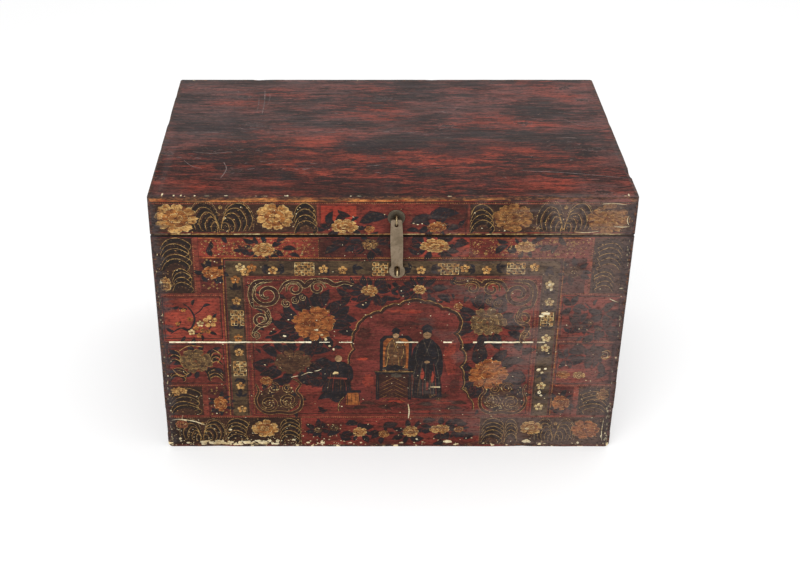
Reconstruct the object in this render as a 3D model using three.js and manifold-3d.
// Painted wooden chest with a hinged box lid and a front hasp.
// Millimetres, +Z up. The origin lies on the floor under the middle of the chest,
// measured over its staple and hinges. +X is the viewer's right and the painted
// front looks along -Y.

import * as THREE from "three";
import { mergeVertices } from "three/addons/utils/BufferGeometryUtils.js";
import Module from "manifold-3d";

const wasm = await Module();
wasm.setup();

// Overall sizes of the wooden box
const CHEST_WIDTH = 700;
const CHEST_DEPTH = 440;
const BODY_HEIGHT = 382;
const LID_RAIL_HEIGHT = 49.2;
const WALL_BOARD = 12;
const TOP_BOARD = 12;

// Fits between neighbouring pieces
const JOINT_GAP = 0.2;
const SEAT_GAP = 0.2;
const LID_GAP = 0.6;

// Plank seam and finger joints of the walls: heights above the floor, and for the
// upper planks drops below the rim
const WALL_SEAM_HEIGHT = 199;
const LOWER_FINGER_LINES = [26.5, 75, 124];
const UPPER_FINGERS_BELOW_RIM = [89, 31];
const LID_FINGER_HEIGHT = 19.4;
const FOOT_CORNER_RADIUS = 8;

// Lid top: two boards side by side with rounded outer corners
const TOP_SEAM_Y = -20;
const TOP_CORNER_RADIUS = 4;

// Bottom boards, held in a groove around the walls
const BOTTOM_BOARD = 10;
const BOTTOM_LIFT = 8;
const BOTTOM_SEAM_Y = 10;
const GROOVE_DEPTH = 5;
const GROOVE_PLAY = 0.2;

// Hinges on the back
const HINGE_SPACING = 420;
const HINGE_LENGTH = 48;
const LEAF_HEIGHT = 30;
const LEAF_THICKNESS = 1.5;
const KNUCKLE_RADIUS = 3.4;
const KNUCKLE_GAP = 0.5;
const PIN_RADIUS = 1.4;
const PIN_PLAY = 0.3;
const PIN_HEAD_RADIUS = 2.4;
const PIN_HEAD_LENGTH = 1;

// Nails of the hinge leaves
const NAIL_RADIUS = 1;
const NAIL_PLAY = 0.25;
const NAIL_HEAD_RADIUS = 2.8;
const NAIL_HEAD_HEIGHT = 1.2;
const NAIL_TIP_SETBACK = 0.5;
const NAIL_END_MARGIN = 7;
const NAILS_PER_LEAF = 3;

// Hasp: rosette and eye on the lid, strap, and the staple in the wall
const HASP_X = 5.2;
const EYE_ABOVE_RAIL_EDGE = 29.7;
const STRAP_HANG_GAP = 0.3;
const ROSETTE_RADIUS = 12.7;
const ROSETTE_THICKNESS = 1.2;
const ROSETTE_BEVEL = 0.5;
const EYE_WIRE_RADIUS = 1.3;
const EYE_RING_RADIUS = 6.2;
const EYE_SHANK_RADIUS = 1.9;
const STRAP_THICKNESS = 2;
const STRAP_HOLE_RADIUS = 2.9;
const STRAP_TOP_ABOVE_AXIS = 1.2;
const STRAP_TOP_WIDTH = 15.6;
const STRAP_TOP_ROUNDING = 3;
const STRAP_MIDDLE_WIDTH = 18.3;
const STRAP_NECK_WIDTH = 16.8;
const STRAP_NECK_ABOVE_SLOT = 15;
const STRAP_BULB_RADIUS = 11.5;
const STRAP_LEAN = 0.026;
const SLOT_BELOW_EYE = 83.1;
const SLOT_WIDTH = 8.4;
const SLOT_LENGTH = 17;
const STAPLE_WIRE_RADIUS = 1.5;
const STAPLE_HALF_SPAN = 4.6;
const STAPLE_REACH = 22;
const LEG_HOLE_PLAY = 0.3;
const CLINCH_LENGTH = 9;

// Smoothness of round shapes, as steps around a full circle
const HOLE_STEPS = 12;
const WIRE_STEPS = 12;
const RING_STEPS = 28;
const DISC_STEPS = 32;

// Places worked out from the sizes above
const HALF_WIDTH = CHEST_WIDTH / 2;
const HALF_DEPTH = CHEST_DEPTH / 2;
const RAIL_BOTTOM = BODY_HEIGHT + LID_GAP;
const RAIL_TOP = RAIL_BOTTOM + LID_RAIL_HEIGHT;
const TOP_UNDERSIDE = RAIL_TOP + SEAT_GAP;
const HINGE_AXIS_Y = HALF_DEPTH + SEAT_GAP + KNUCKLE_RADIUS;
const HINGE_AXIS_Z = BODY_HEIGHT + LID_GAP / 2;
const LEAF_BACK_Y = HALF_DEPTH + SEAT_GAP;
const LEAF_START = KNUCKLE_RADIUS + KNUCKLE_GAP;
const EYE_HEIGHT = RAIL_BOTTOM + EYE_ABOVE_RAIL_EDGE;
const SLOT_HEIGHT = EYE_HEIGHT - SLOT_BELOW_EYE;
const ROSETTE_FACE_Y = -HALF_DEPTH - SEAT_GAP - ROSETTE_THICKNESS;
const EYE_AXIS_Y = ROSETTE_FACE_Y - SEAT_GAP - EYE_WIRE_RADIUS - EYE_RING_RADIUS;
const STRAP_HOLE_DROP = EYE_RING_RADIUS - EYE_WIRE_RADIUS + STRAP_HOLE_RADIUS - STRAP_HANG_GAP;
const STAPLE_X = HASP_X + STRAP_LEAN * (EYE_HEIGHT - SLOT_HEIGHT);
const WALL_INNER_Y = -HALF_DEPTH + WALL_BOARD;

const paintedLacquer = { color: 0x6e3029, roughness: 0.5, metalness: 0 };
const darkLacquer = { color: 0x3d1f1d, roughness: 0.4, metalness: 0 };
const bareWood = { color: 0x9a7a55, roughness: 0.8, metalness: 0 };
const agedBrass = { color: 0x8c7d5c, roughness: 0.45, metalness: 0.9 };
const forgedIron = { color: 0x3a3532, roughness: 0.6, metalness: 0.8 };

// The box is built about its own middle and then moved back a little, because
// the staple reaches farther in front of it than the hinges reach behind
const HINGE_REACH = SEAT_GAP + 2 * KNUCKLE_RADIUS;
const chest = new THREE.Group();
chest.position.y = (STAPLE_REACH - HINGE_REACH) / 2;

function addPiece(name, geometry, look) {
  const mesh = new THREE.Mesh(geometry, new THREE.MeshStandardMaterial(look));
  mesh.name = name;
  chest.add(mesh);
}

// Solids for joining and cutting, from closed geometries and back
function toSolid(geometry) {
  const bare = geometry.clone();
  bare.deleteAttribute("normal");
  bare.deleteAttribute("uv");
  const merged = mergeVertices(bare, 1e-4);
  const vertProperties = new Float32Array(merged.attributes.position.array);
  const triVerts = new Uint32Array(merged.index.array);
  return new wasm.Manifold(new wasm.Mesh({ numProp: 3, vertProperties, triVerts }));
}

function toGeometry(solid) {
  const mesh = solid.getMesh();
  const geometry = new THREE.BufferGeometry();
  geometry.setAttribute("position", new THREE.BufferAttribute(new Float32Array(mesh.vertProperties), 3));
  geometry.setIndex(new THREE.BufferAttribute(new Uint32Array(mesh.triVerts), 1));
  geometry.computeVertexNormals();
  return geometry;
}

function joined(...geometries) {
  return toGeometry(geometries.map(toSolid).reduce((whole, piece) => whole.add(piece)));
}

function boxBetween(low, high) {
  const size = low.map((value, axis) => high[axis] - value);
  const middle = low.map((value, axis) => (value + high[axis]) / 2);
  return new THREE.BoxGeometry(...size).translate(...middle);
}

// A plate with its outline in the XZ plane and its thickness along +Y from yStart
function plateAlongY(outline, yStart, thickness, roundSteps) {
  const settings = { depth: thickness, bevelEnabled: false, curveSegments: roundSteps / 2 };
  return new THREE.ExtrudeGeometry(outline, settings).rotateX(Math.PI / 2).translate(0, yStart + thickness, 0);
}

// A turned piece on the Y axis: the profile lists [radius, distance along Y]
function turned(profile, steps) {
  return new THREE.LatheGeometry(profile.map(([radius, along]) => new THREE.Vector2(radius, along)), steps);
}

function roundHole(x, z, radius) {
  const hole = new THREE.Path();
  hole.absarc(x, z, radius, 0, 2 * Math.PI, true);
  return hole;
}

function rodAlongY(x, z, yStart, yEnd, radius) {
  const middle = (yStart + yEnd) / 2;
  return new THREE.CylinderGeometry(radius, radius, yEnd - yStart, WIRE_STEPS).translate(x, middle, z);
}

function rodAlongZ(x, y, zStart, zEnd, radius) {
  const rod = new THREE.CylinderGeometry(radius, radius, Math.abs(zEnd - zStart), WIRE_STEPS);
  return rod.rotateX(Math.PI / 2).translate(x, y, (zStart + zEnd) / 2);
}

function bead(x, y, z, radius) {
  return new THREE.SphereGeometry(radius, WIRE_STEPS, WIRE_STEPS / 2).rotateX(Math.PI / 2).translate(x, y, z);
}

// A wire ring that stands in the YZ plane
function wireRing(x, y, z, ringRadius, wireRadius) {
  const ring = new THREE.TorusGeometry(ringRadius, wireRadius, WIRE_STEPS, RING_STEPS);
  return ring.rotateY(Math.PI / 2).translate(x, y, z);
}

// Walls and lid rails: boards that lock at the corners by turns

// Splits a wall's height at the finger lines. The front and back boards run
// out to the corner in the first band, the side boards in the next, and so on.
function fingerBands(bottom, lines, top) {
  const levels = [bottom, ...lines, top];
  return levels.slice(1).map((high, index) => ({ low: levels[index], high, frontRuns: index % 2 === 0 }));
}

const walls = {
  front: { turn: 0, halfLength: HALF_WIDTH, plane: -HALF_DEPTH, runsFirst: true },
  right: { turn: Math.PI / 2, halfLength: HALF_DEPTH, plane: -HALF_WIDTH, runsFirst: false },
  back: { turn: Math.PI, halfLength: HALF_WIDTH, plane: -HALF_DEPTH, runsFirst: true },
  left: { turn: -Math.PI / 2, halfLength: HALF_DEPTH, plane: -HALF_WIDTH, runsFirst: false },
};

// The points up one end of a board, where each finger gives up half the joint gap
function fingerEdge(wall, bands) {
  const points = [];
  bands.forEach((band, index) => {
    const runs = band.frontRuns === wall.runsFirst;
    const reach = runs ? wall.halfLength : wall.halfLength - WALL_BOARD - JOINT_GAP;
    const trim = runs ? JOINT_GAP / 2 : -JOINT_GAP / 2;
    const low = index === 0 ? band.low : band.low + trim;
    const high = index === bands.length - 1 ? band.high : band.high - trim;
    points.push([reach, low], [reach, high]);
  });
  return points;
}

function boardOutline(wall, bands, cornerRadius) {
  const edge = fingerEdge(wall, bands);
  const [footReach, footHeight] = edge[0];
  const arcCentre = footReach - cornerRadius;
  const outline = new THREE.Shape();
  outline.moveTo(-arcCentre, footHeight);
  outline.lineTo(arcCentre, footHeight);
  if (cornerRadius > 0) {
    outline.absarc(arcCentre, footHeight + cornerRadius, cornerRadius, -Math.PI / 2, 0, false);
  }
  edge.slice(1).forEach(([reach, height]) => outline.lineTo(reach, height));
  edge.slice(1).reverse().forEach(([reach, height]) => outline.lineTo(-reach, height));
  if (cornerRadius > 0) {
    outline.lineTo(-footReach, footHeight + cornerRadius);
    outline.absarc(-arcCentre, footHeight + cornerRadius, cornerRadius, Math.PI, 1.5 * Math.PI, false);
  }
  outline.closePath();
  return outline;
}

// Every board is made in the front's place and then turned to its own wall
function wallBoard(side, bands, { cornerRadius = 0, holes = [], groove = false } = {}) {
  const wall = walls[side];
  const outline = boardOutline(wall, bands, cornerRadius);
  outline.holes.push(...holes);
  let board = plateAlongY(outline, wall.plane, WALL_BOARD, HOLE_STEPS);
  if (groove) {
    const reach = wall.halfLength - WALL_BOARD + GROOVE_DEPTH + GROOVE_PLAY;
    const inner = wall.plane + WALL_BOARD;
    const cutter = boxBetween(
      [-reach, inner - GROOVE_DEPTH - GROOVE_PLAY, BOTTOM_LIFT - GROOVE_PLAY],
      [reach, inner + WALL_BOARD, BOTTOM_LIFT + BOTTOM_BOARD + GROOVE_PLAY],
    );
    board = toGeometry(toSolid(board).subtract(toSolid(cutter)));
  }
  return board.rotateZ(wall.turn);
}

// Hinge places along X and the nail places along one leaf
const hinges = { left: -HINGE_SPACING / 2, right: HINGE_SPACING / 2 };
const nailSpan = HINGE_LENGTH - 2 * NAIL_END_MARGIN;
const nailOffsets = Array.from(
  { length: NAILS_PER_LEAF },
  (_, index) => nailSpan * (index / (NAILS_PER_LEAF - 1) - 0.5),
);
const nailRise = LEAF_START + LEAF_HEIGHT / 2;
const nailHeights = { lower: HINGE_AXIS_Z - nailRise, upper: HINGE_AXIS_Z + nailRise };

// A back board is turned half round, so its holes are placed at minus X
function nailHoles(level) {
  return Object.values(hinges).flatMap((centre) =>
    nailOffsets.map((offset) => roundHole(-centre - offset, nailHeights[level], NAIL_RADIUS + NAIL_PLAY)),
  );
}

const stapleLegHeights = [SLOT_HEIGHT - STAPLE_HALF_SPAN, SLOT_HEIGHT + STAPLE_HALF_SPAN];
const boardHoles = {
  front_upper: stapleLegHeights.map((z) => roundHole(STAPLE_X, z, STAPLE_WIRE_RADIUS + LEG_HOLE_PLAY)),
  back_upper: nailHoles("lower"),
  front_lid: [roundHole(HASP_X, EYE_HEIGHT, EYE_SHANK_RADIUS + LEG_HOLE_PLAY)],
  back_lid: nailHoles("upper"),
};

const lowerBands = fingerBands(0, LOWER_FINGER_LINES, WALL_SEAM_HEIGHT - JOINT_GAP / 2);
const upperFingerLines = UPPER_FINGERS_BELOW_RIM.map((drop) => BODY_HEIGHT - drop);
const upperBands = fingerBands(WALL_SEAM_HEIGHT + JOINT_GAP / 2, upperFingerLines, BODY_HEIGHT);
const railBands = fingerBands(RAIL_BOTTOM, [RAIL_BOTTOM + LID_FINGER_HEIGHT], RAIL_TOP);

for (const side of Object.keys(walls)) {
  const look = side === "front" ? paintedLacquer : darkLacquer;
  const cornerRadius = walls[side].runsFirst ? FOOT_CORNER_RADIUS : 0;
  addPiece(`${side}_lower_plank`, wallBoard(side, lowerBands, { cornerRadius, groove: true }), look);
  addPiece(`${side}_upper_plank`, wallBoard(side, upperBands, { holes: boardHoles[`${side}_upper`] }), look);
  addPiece(`lid_${side}_rail`, wallBoard(side, railBands, { holes: boardHoles[`${side}_lid`] }), look);
}

// Bottom boards, let into the groove on three sides each
const bottomReachX = HALF_WIDTH - WALL_BOARD + GROOVE_DEPTH;
const bottomReachY = HALF_DEPTH - WALL_BOARD + GROOVE_DEPTH;
const bottomSpans = {
  front: [-bottomReachY, BOTTOM_SEAM_Y - JOINT_GAP / 2],
  back: [BOTTOM_SEAM_Y + JOINT_GAP / 2, bottomReachY],
};
for (const [place, [yLow, yHigh]] of Object.entries(bottomSpans)) {
  const board = boxBetween(
    [-bottomReachX, yLow, BOTTOM_LIFT],
    [bottomReachX, yHigh, BOTTOM_LIFT + BOTTOM_BOARD],
  );
  addPiece(`bottom_${place}_board`, board, bareWood);
}

// Lid top: each board has its two outer corners rounded
function topBoard(depth) {
  const radius = TOP_CORNER_RADIUS;
  const outline = new THREE.Shape();
  outline.moveTo(-HALF_WIDTH + radius, 0);
  outline.lineTo(HALF_WIDTH - radius, 0);
  outline.absarc(HALF_WIDTH - radius, radius, radius, -Math.PI / 2, 0, false);
  outline.lineTo(HALF_WIDTH, depth);
  outline.lineTo(-HALF_WIDTH, depth);
  outline.lineTo(-HALF_WIDTH, radius);
  outline.absarc(-HALF_WIDTH + radius, radius, radius, Math.PI, 1.5 * Math.PI, false);
  return new THREE.ExtrudeGeometry(outline, { depth: TOP_BOARD, bevelEnabled: false, curveSegments: 4 });
}
const frontTopDepth = TOP_SEAM_Y - JOINT_GAP / 2 + HALF_DEPTH;
const backTopDepth = HALF_DEPTH - TOP_SEAM_Y - JOINT_GAP / 2;
const frontTop = topBoard(frontTopDepth).translate(0, -HALF_DEPTH, TOP_UNDERSIDE);
const backTop = topBoard(backTopDepth).rotateZ(Math.PI).translate(0, HALF_DEPTH, TOP_UNDERSIDE);
addPiece("lid_top_front_board", frontTop, darkLacquer);
addPiece("lid_top_back_board", backTop, darkLacquer);

// Hinges: the lower leaf carries the two end knuckles, the upper leaf the middle one
const knuckleLength = (HINGE_LENGTH - 2 * KNUCKLE_GAP) / 3;
const knuckleStep = knuckleLength + KNUCKLE_GAP;
const knucklePlaces = { lower: [-knuckleStep, knuckleStep], upper: [0] };
const leafDirections = { lower: -1, upper: 1 };

function hingeLeaf(centre, level) {
  const up = leafDirections[level];
  const plateEnds = [LEAF_START, LEAF_START + LEAF_HEIGHT].map((rise) => HINGE_AXIS_Z + up * rise);
  const plateOutline = new THREE.Shape();
  const halfLength = HINGE_LENGTH / 2;
  plateOutline.moveTo(centre - halfLength, Math.min(...plateEnds));
  plateOutline.lineTo(centre + halfLength, Math.min(...plateEnds));
  plateOutline.lineTo(centre + halfLength, Math.max(...plateEnds));
  plateOutline.lineTo(centre - halfLength, Math.max(...plateEnds));
  nailOffsets.forEach((offset) => {
    plateOutline.holes.push(roundHole(centre + offset, nailHeights[level], NAIL_RADIUS + NAIL_PLAY));
  });
  let leaf = toSolid(plateAlongY(plateOutline, LEAF_BACK_Y, LEAF_THICKNESS, HOLE_STEPS));
  for (const place of knucklePlaces[level]) {
    const xLow = centre + place - knuckleLength / 2;
    const barrel = new THREE.CylinderGeometry(KNUCKLE_RADIUS, KNUCKLE_RADIUS, knuckleLength, RING_STEPS);
    barrel.rotateZ(Math.PI / 2).translate(centre + place, HINGE_AXIS_Y, HINGE_AXIS_Z);
    const webEnds = [HINGE_AXIS_Z, HINGE_AXIS_Z + up * (LEAF_START + LEAF_THICKNESS)];
    const web = boxBetween(
      [xLow, LEAF_BACK_Y, Math.min(...webEnds)],
      [xLow + knuckleLength, LEAF_BACK_Y + LEAF_THICKNESS, Math.max(...webEnds)],
    );
    leaf = leaf.add(toSolid(barrel)).add(toSolid(web));
  }
  const boreRadius = PIN_RADIUS + PIN_PLAY;
  const bore = new THREE.CylinderGeometry(boreRadius, boreRadius, 2 * HINGE_LENGTH, WIRE_STEPS);
  bore.rotateZ(Math.PI / 2).translate(centre, HINGE_AXIS_Y, HINGE_AXIS_Z);
  return toGeometry(leaf.subtract(toSolid(bore)));
}

// The pin has both ends hammered over outside the knuckles
function hingePin(centre) {
  const headInner = HINGE_LENGTH / 2 + PIN_PLAY;
  const headOuter = headInner + PIN_HEAD_LENGTH;
  const profile = [
    [0, -headOuter],
    [PIN_HEAD_RADIUS, -headOuter],
    [PIN_HEAD_RADIUS, -headInner],
    [PIN_RADIUS, -headInner],
    [PIN_RADIUS, headInner],
    [PIN_HEAD_RADIUS, headInner],
    [PIN_HEAD_RADIUS, headOuter],
    [0, headOuter],
  ];
  return turned(profile, WIRE_STEPS).rotateZ(Math.PI / 2).translate(centre, HINGE_AXIS_Y, HINGE_AXIS_Z);
}

// A hand-made nail with a low domed head outside the leaf
function hingeNail(x, z) {
  const tip = HALF_DEPTH - WALL_BOARD + NAIL_TIP_SETBACK;
  const headBase = LEAF_BACK_Y + LEAF_THICKNESS + SEAT_GAP;
  const profile = [
    [0, tip],
    [NAIL_RADIUS, tip + NAIL_RADIUS],
    [NAIL_RADIUS, headBase],
    [NAIL_HEAD_RADIUS, headBase],
    [NAIL_HEAD_RADIUS * 0.75, headBase + NAIL_HEAD_HEIGHT * 0.75],
    [0, headBase + NAIL_HEAD_HEIGHT],
  ];
  return turned(profile, WIRE_STEPS).translate(x, 0, z);
}

for (const [side, centre] of Object.entries(hinges)) {
  addPiece(`${side}_hinge_pin`, hingePin(centre), forgedIron);
  for (const level of Object.keys(nailHeights)) {
    addPiece(`${side}_hinge_${level}_leaf`, hingeLeaf(centre, level), forgedIron);
    nailOffsets.forEach((offset, index) => {
      const nail = hingeNail(centre + offset, nailHeights[level]);
      addPiece(`${side}_hinge_${level}_nail_${index + 1}`, nail, forgedIron);
    });
  }
}

// Rosette under the eye on the lid's front rail
const rosetteProfile = [
  [EYE_SHANK_RADIUS + LEG_HOLE_PLAY, ROSETTE_THICKNESS],
  [EYE_SHANK_RADIUS + LEG_HOLE_PLAY, 0],
  [ROSETTE_RADIUS - ROSETTE_BEVEL, 0],
  [ROSETTE_RADIUS, ROSETTE_BEVEL],
  [ROSETTE_RADIUS, ROSETTE_THICKNESS],
  [EYE_SHANK_RADIUS + LEG_HOLE_PLAY, ROSETTE_THICKNESS],
];
addPiece(
  "hasp_rosette",
  turned(rosetteProfile, DISC_STEPS).translate(HASP_X, ROSETTE_FACE_Y, EYE_HEIGHT),
  agedBrass,
);

// Split eye: a ring outside, and two legs spread against the rail's inner face
const eyeClinchY = WALL_INNER_Y + SEAT_GAP + EYE_WIRE_RADIUS;
addPiece(
  "hasp_eye",
  joined(
    wireRing(HASP_X, EYE_AXIS_Y, EYE_HEIGHT, EYE_RING_RADIUS, EYE_WIRE_RADIUS),
    rodAlongY(HASP_X, EYE_HEIGHT, EYE_AXIS_Y + EYE_RING_RADIUS, eyeClinchY, EYE_SHANK_RADIUS),
    rodAlongZ(HASP_X, eyeClinchY, EYE_HEIGHT - CLINCH_LENGTH, EYE_HEIGHT + CLINCH_LENGTH, EYE_WIRE_RADIUS),
  ),
  agedBrass,
);

// Strap: a flat bar that widens to a round end with a slot for the staple
function strapOutline() {
  const top = EYE_HEIGHT + STRAP_TOP_ABOVE_AXIS;
  const neck = SLOT_HEIGHT + STRAP_NECK_ABOVE_SLOT;
  const middle = (top + neck) / 2;
  const halfTop = STRAP_TOP_WIDTH / 2;
  const halfMiddle = STRAP_MIDDLE_WIDTH / 2;
  const halfNeck = STRAP_NECK_WIDTH / 2;
  const shoulder = Math.asin(halfNeck / STRAP_BULB_RADIUS);
  const rounding = STRAP_TOP_ROUNDING;
  const outline = new THREE.Shape();
  outline.moveTo(-halfTop + rounding, top);
  outline.quadraticCurveTo(-halfTop, top, -halfTop, top - rounding);
  outline.quadraticCurveTo(-halfMiddle, (top + middle) / 2, -halfMiddle, middle);
  outline.quadraticCurveTo(-halfMiddle, (middle + neck) / 2, -halfNeck, neck);
  outline.absarc(0, SLOT_HEIGHT, STRAP_BULB_RADIUS, Math.PI / 2 + shoulder, Math.PI * 2.5 - shoulder, false);
  outline.lineTo(halfNeck, neck);
  outline.quadraticCurveTo(halfMiddle, (middle + neck) / 2, halfMiddle, middle);
  outline.quadraticCurveTo(halfMiddle, (top + middle) / 2, halfTop, top - rounding);
  outline.quadraticCurveTo(halfTop, top, halfTop - rounding, top);
  outline.closePath();
  return outline;
}

function slotHole() {
  const radius = SLOT_WIDTH / 2;
  const straight = SLOT_LENGTH / 2 - radius;
  const slot = new THREE.Path();
  slot.absarc(0, SLOT_HEIGHT + straight, radius, Math.PI, 0, true);
  slot.absarc(0, SLOT_HEIGHT - straight, radius, 0, -Math.PI, true);
  slot.closePath();
  return slot;
}

// The strap hangs on the ring by the upper edge of its hole, and leans a little
// sideways, so its end lies right of the hole
const strapShape = strapOutline();
strapShape.holes.push(roundHole(0, EYE_HEIGHT - STRAP_HOLE_DROP, STRAP_HOLE_RADIUS), slotHole());
const strap = plateAlongY(strapShape, EYE_AXIS_Y - STRAP_THICKNESS / 2, STRAP_THICKNESS, RING_STEPS);
strap.translate(0, 0, -EYE_HEIGHT);
strap.applyMatrix4(new THREE.Matrix4().makeShear(0, 0, 0, 0, -STRAP_LEAN, 0));
strap.translate(HASP_X, 0, EYE_HEIGHT);
addPiece("hasp_strap", strap, agedBrass);

// Staple: a wire loop through the front wall with its legs turned over inside
const stapleTurnY = -HALF_DEPTH - STAPLE_REACH + STAPLE_HALF_SPAN + STAPLE_WIRE_RADIUS;
const stapleClinchY = WALL_INNER_Y + SEAT_GAP + STAPLE_WIRE_RADIUS;
const bend = toSolid(wireRing(STAPLE_X, stapleTurnY, SLOT_HEIGHT, STAPLE_HALF_SPAN, STAPLE_WIRE_RADIUS));
const bendSpan = STAPLE_HALF_SPAN + 2 * STAPLE_WIRE_RADIUS;
const frontHalf = boxBetween(
  [STAPLE_X - bendSpan, stapleTurnY - bendSpan, SLOT_HEIGHT - bendSpan],
  [STAPLE_X + bendSpan, stapleTurnY, SLOT_HEIGHT + bendSpan],
);
let staple = bend.intersect(toSolid(frontHalf));
for (const direction of [-1, 1]) {
  const legHeight = SLOT_HEIGHT + direction * STAPLE_HALF_SPAN;
  const clinchEnd = legHeight + direction * CLINCH_LENGTH;
  const leg = rodAlongY(STAPLE_X, legHeight, stapleTurnY, stapleClinchY, STAPLE_WIRE_RADIUS);
  const corner = bead(STAPLE_X, stapleClinchY, legHeight, STAPLE_WIRE_RADIUS);
  const clinch = rodAlongZ(STAPLE_X, stapleClinchY, legHeight, clinchEnd, STAPLE_WIRE_RADIUS);
  staple = staple.add(toSolid(leg)).add(toSolid(corner)).add(toSolid(clinch));
}
addPiece("wall_staple", toGeometry(staple), agedBrass);

export default chest;
